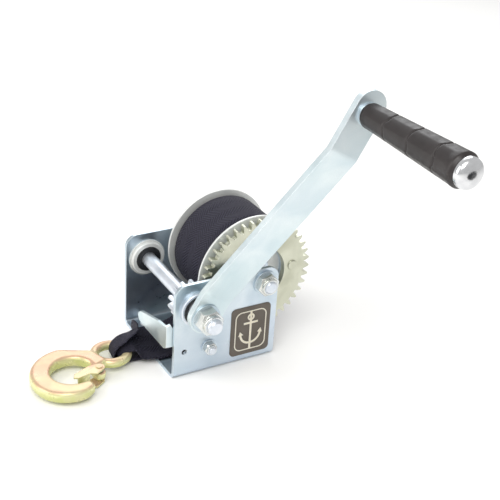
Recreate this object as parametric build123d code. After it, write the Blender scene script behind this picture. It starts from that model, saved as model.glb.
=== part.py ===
"""Hand winch for a boat trailer, millimetres, +Z up.

The origin is the middle of the four base holes, on the underside of the base.
+X points to the drum, -X is where the strap leaves, and the crank is on the -Y side.
"""
from build123d import *
import math
import os

# Frame channel
FRAME_LENGTH = 93.0
FRAME_WIDTH = 96.0
FRAME_HEIGHT = 85.0
PLATE = 3.0
BEND_RADIUS = 3.0
PLATE_CORNER = 10.0
NEAR_OUT = -FRAME_WIDTH / 2
NEAR_IN = NEAR_OUT + PLATE
FAR_IN = FRAME_WIDTH / 2 - PLATE
FAR_OUT = FRAME_WIDTH / 2
FRONT = -FRAME_LENGTH / 2
BASE_HOLE_X = 33.0
BASE_HOLE_Y = 35.5
BASE_HOLE_R = 4.25

# Gears: the pinion on the crank shaft drives the large gear on the drum
MODULE = 2.35
GEAR_TEETH = 40
PINION_TEETH = 13
PRESSURE_ANGLE = 20.0
BACKLASH = 0.5
ADDENDUM = 1.0
PINION_ADDENDUM = 0.62
DEDENDUM = 1.25
CENTRES = MODULE * (GEAR_TEETH + PINION_TEETH) / 2
DRUM_X = 34.0
DRUM_Z = 72.0
SHAFT_DROP = 9.5
SHAFT_X = DRUM_X - math.sqrt(CENTRES ** 2 - SHAFT_DROP ** 2)
SHAFT_Z = DRUM_Z - SHAFT_DROP
GEAR_FACE = -35.8
GEAR_THICK = 5.2
PINION_NEAR = -44.2
PINION_FAR = -30.0

# Drum
FLANGE_R_NEAR = 49.6
FLANGE_R_FAR = 46.8
FLANGE_THICK = 2.0
FLANGE_NEAR = -25.1
FLANGE_FAR = 33.0
CORE_R = 15.0
CORE_BORE_R = 12.0
GEAR_HOLE_R = 25.4
RIVET_RING_R = 33.0
RIVET_R = 3.0
ROLL_R = 43.5
STRAP_WIDTH = 50.8
STRAP_THICK = 1.6
STRAP_Y = (FLANGE_NEAR + FLANGE_FAR) / 2
PIN_RING_R = 20.0
PIN_R = 3.0

# Axle
AXLE_R = 5.0
RUNNING = 0.05

# Drive shaft and its bushes
SHAFT_R = 6.0
BUSH_R = 9.0
BUSH_RING_R = 14.6
BUSH_RECESS_R = 10.2
SHAFT_FLATS = 9.0

# Crank: the arm leans outwards between two bends
ARM_ANGLE = 59.5
ARM_LENGTH = 197.0
ARM_WIDTH = 27.0
ARM_PAST_GRIP = 4.5
ARM_THICK = 5.5
ARM_BACK = -58.2
ARM_BEND_1 = 18.0
ARM_BEND_2 = 163.0
ARM_LEAN = 43.5
ARM_FRONT = ARM_BACK - ARM_THICK
GRIP_X = SHAFT_X + ARM_LENGTH * math.cos(math.radians(ARM_ANGLE))
GRIP_Z = SHAFT_Z + ARM_LENGTH * math.sin(math.radians(ARM_ANGLE))
GRIP_BASE = ARM_FRONT - ARM_LEAN
SPINDLE_R = 4.0
COLLAR_THICK = 2.0
GRIP_LENGTH = 107.0
GRIP_R_IN = 9.6
GRIP_R_OUT = 13.2
CAP_HEIGHT = 8.0
CAP_R = 11.3

# Pawl
PIVOT_X = -15.4
PIVOT_Z = 23.9
PIVOT_R = 3.0
PAWL_NEAR = -44.6
PAWL_THICK = 3.0
PAWL_TILT = 10.0
TAB_FRONT = -52.0
TAB_THICK = 2.5
SMALL_HOLE = (-37.2, 24.3)
SMALL_HOLE_R = 2.3

# Label
LABEL_CENTRE = (22.7, 30.2)
LABEL_SIZE = (36.5, 45.0)
LABEL_THICK = 0.5
MARK_THICK = 0.25

# Hook, lying flat: its own outline is drawn with the eye at the origin
EYE_X = -81.5
EYE_Y = -3.5
HOOK_Z = 8.0
HOOK_TURN = 201.0
EYE_RING_R = 13.4
EYE_BAR_R = 4.0
BOWL_X = 41.5
BOWL_INNER_R = 17.5
BOWL_OUTER_R = 33.5
HOOK_THICK = 10.0
LATCH_PIN = (26.0, 14.0)
LATCH_PIN_R = 1.6
LATCH_PLATE = 1.2
LATCH_INSIDE = 5.8
LATCH_RUNNING = 0.06

# Strap outside the drum
LOOP_INNER_R = 5.8
LOOP_WIDTH = 10.0


def rod(radius, y_from, y_to, x=0.0, z=0.0):
    """A cylinder along Y between two heights of Y."""
    face = Plane(origin=(x, y_from, z), z_dir=(0, 1, 0)) * Circle(radius)
    return extrude(face, y_to - y_from)


def ring(outer, inner, y_from, y_to, x=0.0, z=0.0):
    """A tube along Y."""
    return rod(outer, y_from, y_to, x, z) - rod(inner, y_from - 1, y_to + 1, x, z)


def side_plate(sketch, y_from, y_to):
    """Extrudes a sketch drawn with x as X and y as Z, from y_from to y_to."""
    plane = Plane(origin=(0, y_from, 0), x_dir=(1, 0, 0), z_dir=(0, -1, 0))
    return extrude(plane * sketch, -(y_to - y_from))


def polygon(*points):
    """A flat face with straight sides."""
    return make_face(Polyline(*points, close=True))


def hexagon(across_flats, y_from, y_to, x, z, turn=0.0):
    """A hexagonal prism along Y."""
    sketch = Pos(x, z) * Rot(0, 0, turn) * RegularPolygon(across_flats / 2, 6, major_radius=False)
    return side_plate(sketch, y_from, y_to)


def lock_nut(across_flats, bore, y_inner, height, x, z, turn=0.0):
    """A hexagon nut with a round nylon collar on its outer (-Y) side."""
    collar = 0.28 * height
    y_hex = y_inner - height + collar
    body = hexagon(across_flats, y_hex, y_inner, x, z, turn)
    cone = revolve(
        Plane.XY * polygon((0, y_hex), (0.47 * across_flats, y_hex), (0.6 * across_flats, y_hex + 1.6),
                            (0.6 * across_flats, y_inner), (0, y_inner)),
        Axis.Y)
    body = body & (Pos(x, 0, z) * cone)
    dome = fillet(rod(0.43 * across_flats, y_inner - height, y_hex, x, z).edges().group_by(Axis.Y)[0], 1.0)
    return (body + dome) - rod(bore, y_inner - height - 1, y_inner + 1, x, z)


def gear_outline(teeth, phase, addendum=ADDENDUM):
    """Involute gear outline centred on the origin, with one tooth centred at phase degrees."""
    pitch_r = MODULE * teeth / 2
    base_r = pitch_r * math.cos(math.radians(PRESSURE_ANGLE))
    tip_r = pitch_r + addendum * MODULE
    root_r = pitch_r - DEDENDUM * MODULE
    start_r = max(base_r, root_r + 0.2)
    half_tooth = (math.pi * MODULE / 2 - BACKLASH) / 2 / pitch_r

    def involute(radius):
        roll = math.sqrt(max((radius / base_r) ** 2 - 1, 0))
        return roll - math.atan(roll)

    steps = 5
    radii = [start_r + (tip_r - start_r) * i / (steps - 1) for i in range(steps)]
    half_angles = [half_tooth + involute(pitch_r) - involute(r) for r in radii]

    def at(r, a):
        return (r * math.cos(a), r * math.sin(a))

    edges = []
    pitch = 2 * math.pi / teeth
    root_half = half_angles[0]
    for i in range(teeth):
        mid = math.radians(phase) + i * pitch
        rising = [at(r, mid - a) for r, a in zip(radii, half_angles)]
        falling = [at(r, mid + a) for r, a in zip(reversed(radii), reversed(half_angles))]
        foot_in = at(root_r, mid - root_half)
        foot_out = at(root_r, mid + root_half)
        next_foot = at(root_r, mid + pitch - root_half)
        edges += [Line(foot_in, rising[0]), Spline(*rising),
                  ThreePointArc(rising[-1], at(tip_r, mid), falling[0]), Spline(*falling),
                  Line(falling[-1], foot_out),
                  ThreePointArc(foot_out, at(root_r, mid + pitch / 2), next_foot)]
    return make_face(edges)


def mesh_angle():
    """Direction from the shaft to the drum axis, in degrees in the XZ plane."""
    return math.degrees(math.atan2(DRUM_Z - SHAFT_Z, DRUM_X - SHAFT_X))


def pawl_line():
    """Direction from the shaft to the pawl pivot, in degrees in the XZ plane."""
    return math.degrees(math.atan2(PIVOT_Z - SHAFT_Z, PIVOT_X - SHAFT_X))


def pinion_phase():
    """A tooth gap faces the pawl pivot, so a tooth stands half a pitch beside that line."""
    return pawl_line() + 180 / PINION_TEETH


def gear_phase():
    """The gear tooth that meets the pinion is set by where the pinion's teeth stand."""
    pinion_pitch = 360 / PINION_TEETH
    offset = (mesh_angle() - pinion_phase()) % pinion_pitch
    shift = offset * PINION_TEETH / GEAR_TEETH
    return mesh_angle() + 180 + shift + 180 / GEAR_TEETH


# ---------------------------------------------------------------- frame (fixed)

def frame():
    outer = Pos(0, FRAME_HEIGHT / 2) * Rectangle(FRAME_WIDTH, FRAME_HEIGHT)
    outer = fillet(outer.vertices().group_by(Axis.Y)[0], BEND_RADIUS + PLATE)
    inner = Pos(0, FRAME_HEIGHT / 2 + PLATE) * Rectangle(FRAME_WIDTH - 2 * PLATE, FRAME_HEIGHT)
    inner = fillet(inner.vertices().group_by(Axis.Y)[0], BEND_RADIUS)
    profile_plane = Plane(origin=(FRONT, 0, 0), x_dir=(0, 1, 0), z_dir=(1, 0, 0))
    body = extrude(profile_plane * (outer - inner), FRAME_LENGTH)
    top_corners = [e for e in body.edges().filter_by(Axis.Y)
                   if e.center().Z > FRAME_HEIGHT - 1 and abs(e.center().X) > FRAME_LENGTH / 2 - 1]
    body = fillet(top_corners, PLATE_CORNER)
    for y_from, y_to in ((NEAR_OUT - 1, NEAR_IN + 1), (FAR_IN - 1, FAR_OUT + 1)):
        body -= rod(BUSH_R, y_from, y_to, SHAFT_X, SHAFT_Z)
        body -= rod(AXLE_R, y_from, y_to, DRUM_X, DRUM_Z)
    body -= rod(PIVOT_R, NEAR_OUT - 1, NEAR_IN + 1, PIVOT_X, PIVOT_Z)
    body -= rod(SMALL_HOLE_R, NEAR_OUT - 1, NEAR_IN + 1, *SMALL_HOLE)
    for x in (-BASE_HOLE_X, BASE_HOLE_X):
        for y in (-BASE_HOLE_Y, BASE_HOLE_Y):
            body -= Pos(x, y, PLATE / 2) * Cylinder(BASE_HOLE_R, PLATE + 2)
    return body


def shaft_bush(side):
    """Flanged bush with a recessed face; side is -1 for the near plate's outer face, +1 for the far inner."""
    if side < 0:
        flange = (NEAR_OUT - 3.5, NEAR_OUT)
        recess = (NEAR_OUT - 4, NEAR_OUT - 1.5)
        body = (NEAR_OUT, NEAR_IN)
    else:
        flange = (FAR_IN - 4.0, FAR_IN - 1.0)
        recess = (FAR_IN - 5.0, FAR_IN - 2.5)
        body = (FAR_IN - 1.0, FAR_OUT + 1.0)
    rim = rod(BUSH_RING_R, *flange, SHAFT_X, SHAFT_Z)
    rim = fillet(rim.edges().group_by(Axis.Y)[0], 1.0)
    whole = rim + rod(BUSH_R, *body, SHAFT_X, SHAFT_Z)
    whole -= rod(BUSH_RECESS_R, *recess, SHAFT_X, SHAFT_Z)
    return whole - rod(SHAFT_R + RUNNING, NEAR_OUT - 9, FAR_OUT + 9, SHAFT_X, SHAFT_Z)


def shaft_washer_far():
    return ring(16.2, BUSH_R, FAR_IN - 1.0, FAR_IN, SHAFT_X, SHAFT_Z)


def drum_axle():
    shank = rod(AXLE_R, NEAR_OUT - 11.0, FAR_OUT + 1.6, DRUM_X, DRUM_Z)
    shank = chamfer(shank.edges().group_by(Axis.Y)[0], 0.8)
    return shank + hexagon(17.0, FAR_OUT + 1.6, FAR_OUT + 8.0, DRUM_X, DRUM_Z)


def axle_washer(y_from):
    return ring(10.5, AXLE_R, y_from, y_from + 1.6, DRUM_X, DRUM_Z)


def axle_nut():
    return lock_nut(17.0, AXLE_R, NEAR_OUT - 1.6, 8.0, DRUM_X, DRUM_Z, turn=12)


def axle_spacer(y_from, y_to):
    return ring(8.0, AXLE_R, y_from, y_to, DRUM_X, DRUM_Z)


def pawl_pivot():
    shank = rod(PIVOT_R, NEAR_OUT - 8.6, PAWL_NEAR + PAWL_THICK + 0.4, PIVOT_X, PIVOT_Z)
    shank = chamfer(shank.edges().group_by(Axis.Y)[0], 0.6)
    y_head = PAWL_NEAR + PAWL_THICK + 0.4
    head = rod(6.5, y_head, y_head + 4.0, PIVOT_X, PIVOT_Z)
    head = fillet(head.edges().group_by(Axis.Y)[-1], 1.5)
    return shank + head


def pawl_pivot_washer():
    return ring(6.6, PIVOT_R, NEAR_OUT - 1.2, NEAR_OUT, PIVOT_X, PIVOT_Z)


def pawl_pivot_nut():
    return lock_nut(10.0, PIVOT_R, NEAR_OUT - 1.2, 6.0, PIVOT_X, PIVOT_Z, turn=5)


def label_plate():
    sketch = Pos(*LABEL_CENTRE) * RectangleRounded(*LABEL_SIZE, 4.0)
    return side_plate(sketch, NEAR_OUT - LABEL_THICK, NEAR_OUT)


def label_mark():
    """A plain anchor inside a rounded border, as raised lines that all join."""
    line = 0.9
    border = RectangleRounded(29.0, 37.0, 6.0) - RectangleRounded(29.0 - 2 * line, 37.0 - 2 * line, 5.2)
    stem = Rectangle(1.8, 36.0)
    stock = Pos(0, 7.0) * Rectangle(13.0, 1.8)
    eye = Pos(0, 12.5) * (Circle(3.2) - Circle(1.8))
    arms = Pos(0, -3.0) * (Circle(10.0) - Circle(8.2))
    arms &= Pos(0, -9.5) * Rectangle(24.0, 13.0)
    flukes = Sketch() + [
        Pos(side * 9.1, -2.6) * Rot(0, 0, -side * 12) * RegularPolygon(2.6, 3, rotation=90)
        for side in (-1, 1)]
    sketch = Pos(*LABEL_CENTRE) * (border + stem + stock + eye + arms + flukes)
    face_y = NEAR_OUT - LABEL_THICK
    return side_plate(sketch, face_y - MARK_THICK, face_y)


# ---------------------------------------------------------------- drum

def flange(radius, y_from, rivet_holes):
    disc = rod(radius, y_from, y_from + FLANGE_THICK, DRUM_X, DRUM_Z)
    disc = chamfer(disc.edges().filter_by(GeomType.CIRCLE), 0.3)
    disc -= rod(CORE_R, y_from - 1, y_from + FLANGE_THICK + 1, DRUM_X, DRUM_Z)
    disc -= anchor_pin_hole()
    if rivet_holes:
        for x, z in rivet_places():
            disc -= rod(RIVET_R, y_from - 1, y_from + FLANGE_THICK + 1, x, z)
    return disc


def rivet_places():
    """Four rivets, the first just above the level of the drum axis."""
    first = 5.0
    return [(DRUM_X + RIVET_RING_R * math.cos(math.radians(first + 90 * i)),
             DRUM_Z + RIVET_RING_R * math.sin(math.radians(first + 90 * i))) for i in range(4)]


def anchor_pin_hole():
    x = DRUM_X + PIN_RING_R * math.cos(math.radians(200))
    z = DRUM_Z + PIN_RING_R * math.sin(math.radians(200))
    return rod(PIN_R, FLANGE_NEAR - FLANGE_THICK - 1, FLANGE_FAR + FLANGE_THICK + 1, x, z)


def strap_anchor_pin():
    x = DRUM_X + PIN_RING_R * math.cos(math.radians(200))
    z = DRUM_Z + PIN_RING_R * math.sin(math.radians(200))
    y_near = FLANGE_NEAR - FLANGE_THICK
    y_far = FLANGE_FAR + FLANGE_THICK
    pin = rod(PIN_R, y_near, y_far, x, z)
    heads = [fillet(rod(4.6, y_near - 2.2, y_near, x, z).edges().group_by(Axis.Y)[0], 1.2),
             fillet(rod(4.6, y_far, y_far + 2.2, x, z).edges().group_by(Axis.Y)[-1], 1.2)]
    return pin + heads


def drum_core():
    return ring(CORE_R, CORE_BORE_R, FLANGE_NEAR - FLANGE_THICK, FLANGE_FAR + FLANGE_THICK, DRUM_X, DRUM_Z)


def drum_bush(y_from, y_to):
    return ring(CORE_BORE_R, AXLE_R + RUNNING, y_from, y_to, DRUM_X, DRUM_Z)


def drum_gear():
    outline = Pos(DRUM_X, DRUM_Z) * gear_outline(GEAR_TEETH, gear_phase())
    body = side_plate(outline, GEAR_FACE, GEAR_FACE + GEAR_THICK)
    body -= rod(GEAR_HOLE_R, GEAR_FACE - 1, GEAR_FACE + GEAR_THICK + 1, DRUM_X, DRUM_Z)
    for x, z in rivet_places():
        body -= rod(RIVET_R, GEAR_FACE - 1, GEAR_FACE + GEAR_THICK + 1, x, z)
    return body


def gear_spacer():
    y_from = GEAR_FACE + GEAR_THICK
    y_to = FLANGE_NEAR - FLANGE_THICK
    body = ring(38.0, GEAR_HOLE_R, y_from, y_to, DRUM_X, DRUM_Z)
    for x, z in rivet_places():
        body -= rod(RIVET_R, y_from - 1, y_to + 1, x, z)
    return body


def gear_rivet(x, z):
    head = fillet(rod(4.4, GEAR_FACE - 1.2, GEAR_FACE, x, z).edges().group_by(Axis.Y)[0], 0.9)
    return head + rod(RIVET_R, GEAR_FACE, FLANGE_NEAR, x, z)


def strap_roll():
    half = STRAP_WIDTH / 2
    roll = ring(ROLL_R, CORE_R, STRAP_Y - half, STRAP_Y + half, DRUM_X, DRUM_Z)
    return roll - anchor_pin_hole()


# ---------------------------------------------------------------- crank

def shaft_section():
    """The shaft's end section, a circle with two flats, square to the arm."""
    flats = Rectangle(SHAFT_FLATS, 3 * SHAFT_R)
    return Pos(SHAFT_X, SHAFT_Z) * Rot(0, 0, ARM_ANGLE) * (Circle(SHAFT_R) & flats)


def drive_shaft():
    body = rod(SHAFT_R, ARM_BACK, FAR_OUT + 4.2, SHAFT_X, SHAFT_Z)
    body = chamfer(body.edges().group_by(Axis.Y)[-1], 0.8)
    body -= ring(SHAFT_R + 1, SHAFT_R - 0.8, FAR_OUT + 1.4, FAR_OUT + 2.6, SHAFT_X, SHAFT_Z)
    body += side_plate(shaft_section(), ARM_FRONT, ARM_BACK)
    thread = rod(SHAFT_R, NEAR_OUT - 33.5, ARM_FRONT, SHAFT_X, SHAFT_Z)
    return body + chamfer(thread.edges().group_by(Axis.Y)[0], 1.2)


def pinion():
    outline = Pos(SHAFT_X, SHAFT_Z) * gear_outline(PINION_TEETH, pinion_phase(), PINION_ADDENDUM)
    body = side_plate(outline, PINION_NEAR, PINION_FAR)
    return body - rod(SHAFT_R, PINION_NEAR - 1, PINION_FAR + 1, SHAFT_X, SHAFT_Z)


def shaft_circlip():
    body = ring(8.2, SHAFT_R - 0.8, FAR_OUT + 1.4, FAR_OUT + 2.6, SHAFT_X, SHAFT_Z)
    return body - Pos(SHAFT_X, FAR_OUT + 2, SHAFT_Z + 8) * Box(4.5, 4, 12)


def hub_spacer():
    return ring(9.4, SHAFT_R, ARM_BACK, NEAR_OUT - 2.0, SHAFT_X, SHAFT_Z)


def crank_arm():
    """Flat bar with two shallow bends, drawn along its length and then cut to a round-ended outline."""
    lean = math.atan2(ARM_LEAN, ARM_BEND_2 - ARM_BEND_1)
    mitre = ARM_THICK * math.tan(lean / 2)
    start = -ARM_WIDTH
    end = ARM_LENGTH + ARM_WIDTH
    profile = polygon(
        (start, 0), (ARM_BEND_1, 0), (ARM_BEND_2, ARM_LEAN), (end, ARM_LEAN),
        (end, ARM_LEAN + ARM_THICK), (ARM_BEND_2 - mitre, ARM_LEAN + ARM_THICK),
        (ARM_BEND_1 - mitre, ARM_THICK), (start, ARM_THICK))
    bends = [v for v in profile.vertices() if start + 1 < v.X < end - 1]
    profile = fillet(bends, 14.0)
    bar = extrude(profile, ARM_WIDTH / 2, both=True)
    span = ARM_LENGTH + ARM_PAST_GRIP
    outline = Pos(span / 2, 0) * SlotCenterToCenter(span, ARM_WIDTH)
    outline -= Pos(ARM_LENGTH, 0) * Circle(SPINDLE_R + 1)
    cutter = extrude(Plane.XZ * outline, -(ARM_LEAN + 2 * ARM_THICK))
    bar = bar & (Pos(0, -1, 0) * cutter)
    bar = Rot(180, 0, 0) * bar
    placed = Pos(SHAFT_X, ARM_BACK, SHAFT_Z) * Rot(0, -ARM_ANGLE, 0) * bar
    return placed - side_plate(shaft_section(), ARM_FRONT - 1, ARM_BACK + 1)


def crank_washer():
    return ring(12.0, SHAFT_R, ARM_FRONT - 1.6, ARM_FRONT, SHAFT_X, SHAFT_Z)


def crank_nut():
    return lock_nut(19.0, SHAFT_R, ARM_FRONT - 1.6, 12.0, SHAFT_X, SHAFT_Z, turn=8)


def grip_spindle():
    arm_back = GRIP_BASE + ARM_THICK
    stub = rod(SPINDLE_R + 1, GRIP_BASE, arm_back, GRIP_X, GRIP_Z)
    head = fillet(rod(8.0, arm_back, arm_back + 1.8, GRIP_X, GRIP_Z).edges().group_by(Axis.Y)[-1], 1.2)
    y_end = GRIP_BASE - COLLAR_THICK - GRIP_LENGTH - 1.0
    return stub + head + rod(SPINDLE_R, y_end, GRIP_BASE, GRIP_X, GRIP_Z)


def grip_collar():
    return ring(9.0, SPINDLE_R, GRIP_BASE - COLLAR_THICK, GRIP_BASE, GRIP_X, GRIP_Z)


def grip_end_cap():
    """A domed cap pushed onto the spindle's end."""
    y_base = GRIP_BASE - COLLAR_THICK - GRIP_LENGTH - 0.4
    radius = CAP_R
    skirt = 1.6
    tip = y_base - CAP_HEIGHT
    rim = (radius, y_base - skirt)
    half = Polyline((0, tip), (0, y_base), (radius, y_base), rim)
    dome = Spline(rim, (0.7 * radius, tip + 1.8), (0, tip), tangents=[(0, -1), (-1, 0)])
    body = revolve(make_face([half, dome]), Axis.Y)
    body -= rod(SPINDLE_R, y_base - 0.6, y_base + 1)
    return Pos(GRIP_X, 0, GRIP_Z) * body


def grip():
    """Tapered moulded grip, wider at its outer end, with three grooves round it."""
    y_base = GRIP_BASE - COLLAR_THICK - 0.3
    y_end = y_base - GRIP_LENGTH + 0.3
    groove = 1.0

    def taper(y):
        return GRIP_R_IN + (GRIP_R_OUT - GRIP_R_IN) * (y_base - y) / GRIP_LENGTH

    points = [(SPINDLE_R + 0.08, y_base), (taper(y_base) - 1.2, y_base), (taper(y_base - 1.2), y_base - 1.2)]
    for share in (0.27, 0.53, 0.80):
        y = y_base - share * GRIP_LENGTH
        points += [(taper(y + groove), y + groove), (taper(y) - 0.8, y + 0.4 * groove),
                   (taper(y) - 0.8, y - 0.4 * groove), (taper(y - groove), y - groove)]
    points += [(GRIP_R_OUT, y_end + 3.0), (GRIP_R_OUT - 0.7, y_end + 1.0), (GRIP_R_OUT - 2.2, y_end),
               (SPINDLE_R + 0.08, y_end)]
    body = revolve(polygon(*points), Axis.Y)
    return Pos(GRIP_X, 0, GRIP_Z) * body


# ---------------------------------------------------------------- pawl

def pawl_prong(side):
    """One tooth of the pawl: drawn in its tooth gap, then turned back to the neutral position."""
    gap = math.radians(pawl_line() + side * 360 / PINION_TEETH)
    tip_r = MODULE * (PINION_TEETH / 2 - 0.35)
    shape = [(tip_r, 0.7), (tip_r + 4.2, 2.0), (tip_r + 9.0, 3.4)]

    def place(r, half):
        return (SHAFT_X + r * math.cos(gap) - half * math.sin(gap),
                SHAFT_Z + r * math.sin(gap) + half * math.cos(gap))

    points = [place(r, half) for r, half in shape] + [place(r, -half) for r, half in reversed(shape)]
    wedge = polygon(*points)
    return wedge.rotate(Axis((PIVOT_X, PIVOT_Z, 0), (0, 0, 1)), -side * PAWL_TILT)


def pawl():
    """Flat lever inside the near plate, with two prongs and a thumb tab bent across the front."""
    head_r = 20.5
    up = pawl_line() + 180

    def toward(r, a):
        turn = math.radians(up + a)
        return (PIVOT_X + r * math.cos(turn), PIVOT_Z + r * math.sin(turn))

    hub = Pos(PIVOT_X, PIVOT_Z) * Circle(8.5)
    head = polygon(toward(4, 90), toward(head_r, 38), toward(head_r, 18), toward(head_r, 0),
                    toward(head_r, -18), toward(head_r, -38), toward(4, -90))
    arm = polygon((PIVOT_X - 4, PIVOT_Z - 7.5), (-30.0, 22.5), (-33.0, 29.0), (TAB_FRONT + 1, 30.0),
                   (TAB_FRONT, 33.0),
                   (TAB_FRONT, 49.0), (TAB_FRONT + 4, 50.0), (-44.0, 42.0), (-30.0, 38.0),
                   (PIVOT_X, PIVOT_Z + 8))
    flat = hub + head + arm + pawl_prong(-1) + pawl_prong(1)
    lever = side_plate(flat, PAWL_NEAR, PAWL_NEAR + PAWL_THICK)
    tab_outline = polygon((PAWL_NEAR, 30.0), (PAWL_NEAR, 48.5), (-28.0, 46.5), (-8.0, 41.0), (4.0, 37.5),
                           (9.0, 33.0), (6.0, 28.0), (-8.0, 27.0), (-30.0, 27.5), (-40.0, 27.5))
    tab_outline = fillet([v for v in tab_outline.vertices() if v.X > -39], 3.0)
    tab_plane = Plane(origin=(TAB_FRONT, 0, 0), x_dir=(0, 1, 0), z_dir=(1, 0, 0))
    tab = extrude(tab_plane * tab_outline, TAB_THICK)
    return (lever + tab) - rod(PIVOT_R + RUNNING, PAWL_NEAR - 1, PAWL_NEAR + PAWL_THICK + 1, PIVOT_X, PIVOT_Z)


# ---------------------------------------------------------------- hook and strap

def hook_place(shape):
    """Puts a shape drawn about the eye where the hook lies."""
    return Pos(EYE_X, EYE_Y, HOOK_Z) * Rot(0, 0, HOOK_TURN) * shape


def hook_body():
    """Forged slip hook: eye, shank with a boss for the latch pin, bowl and point."""

    def on_bowl(r, a):
        return (BOWL_X + r * math.cos(math.radians(a)), r * math.sin(math.radians(a)))

    back = on_bowl(BOWL_OUTER_R, -112)
    point_out = on_bowl(BOWL_OUTER_R - 3.0, 71)
    point_in = on_bowl(BOWL_INNER_R, 94)
    point_mid = on_bowl(BOWL_INNER_R + 9.0, 92)
    throat = (26.0, 8.5)
    root = on_bowl(BOWL_INNER_R, 168)
    eye_out = (10.5, -10.5)
    eye_in = (11.5, 8.5)
    outline = make_face([
        Line(eye_out, back),
        ThreePointArc(back, on_bowl(BOWL_OUTER_R, -50), on_bowl(BOWL_OUTER_R + 1.0, 0)),
        ThreePointArc(on_bowl(BOWL_OUTER_R + 1.0, 0), on_bowl(BOWL_OUTER_R - 0.5, 45), point_out),
        Line(point_out, point_mid),
        Line(point_mid, point_in),
        ThreePointArc(point_in, on_bowl(BOWL_INNER_R, -45), root),
        Line(root, throat),
        Line(throat, eye_in),
        Line(eye_in, eye_out)])
    tip_corners = [v for v in outline.vertices()
                   if v.Y > BOWL_INNER_R - 2 and v.X < BOWL_X + 2]
    outline = fillet(tip_corners, 3.4)
    outline = fillet([v for v in outline.vertices() if v.X < BOWL_X - 10], 2.0)
    body = extrude(outline, HOOK_THICK / 2, both=True)
    rim = [e for e in body.edges() if abs(abs(e.center().Z) - HOOK_THICK / 2) < 0.01]
    body = fillet(rim, 3.0)
    eye = Torus(EYE_RING_R, EYE_BAR_R)
    boss = Pos(*LATCH_PIN) * Cylinder(5.2, 6.0)
    neck = extrude(polygon((17.0, 8.0), (22.5, 18.0), (30.5, 11.0), (26.5, 3.0), (19.0, 0)), 3.0, both=True)
    body = body + eye + boss + neck
    body -= Pos(*LATCH_PIN) * Cylinder(LATCH_PIN_R, 20)
    return hook_place(body)


def latch_pin():
    """Rivet through the two latch cheeks, with a thin head at each end."""
    shank_length = 14.2
    head_r = 2.8
    head_height = 0.7
    head_z = (shank_length + head_height) / 2
    pin = Cylinder(LATCH_PIN_R, shank_length)
    pin += Pos(0, 0, head_z) * Cylinder(head_r, head_height)
    pin += Pos(0, 0, -head_z) * Cylinder(head_r, head_height)
    return hook_place(Pos(*LATCH_PIN) * pin)


def latch_spring():
    """Two turns of spring wire on the pin, above the boss, as one plain sleeve."""
    coil = Cylinder(4.0, 2.4) - Cylinder(LATCH_PIN_R + 0.5, 4)
    return hook_place(Pos(*LATCH_PIN, 4.4) * coil)


def hook_latch():
    """Folded sheet latch: two cheeks on the pin, joined by a web along the mouth side."""
    pin_x, pin_y = LATCH_PIN
    shoulder = (pin_x + 7.5, pin_y + 5.8)
    web_start = (pin_x + 11.5, pin_y + 1.7)
    tip_top = (BOWL_X + 6.5, 14.2)
    tongue = polygon((pin_x - 1, pin_y + 4.2), shoulder, web_start, tip_top, (BOWL_X + 9.0, 11.2),
                     (BOWL_X + 5.5, 8.0), (pin_x + 6, pin_y - 6.5), (pin_x - 1, pin_y - 4.2))
    cheek = tongue + Pos(*LATCH_PIN) * Circle(4.3)
    cheek -= Pos(*LATCH_PIN) * Circle(LATCH_PIN_R + LATCH_RUNNING)
    top = extrude(Pos(0, 0, LATCH_INSIDE) * cheek, LATCH_PLATE)
    bottom = extrude(Pos(0, 0, -LATCH_INSIDE - LATCH_PLATE) * cheek, LATCH_PLATE)
    web_line = polygon(web_start, tip_top, (tip_top[0], tip_top[1] - LATCH_PLATE),
                       (web_start[0], web_start[1] - LATCH_PLATE))
    web = extrude(web_line, LATCH_INSIDE + LATCH_PLATE / 2, both=True)
    return hook_place(top + bottom + web)


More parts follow.
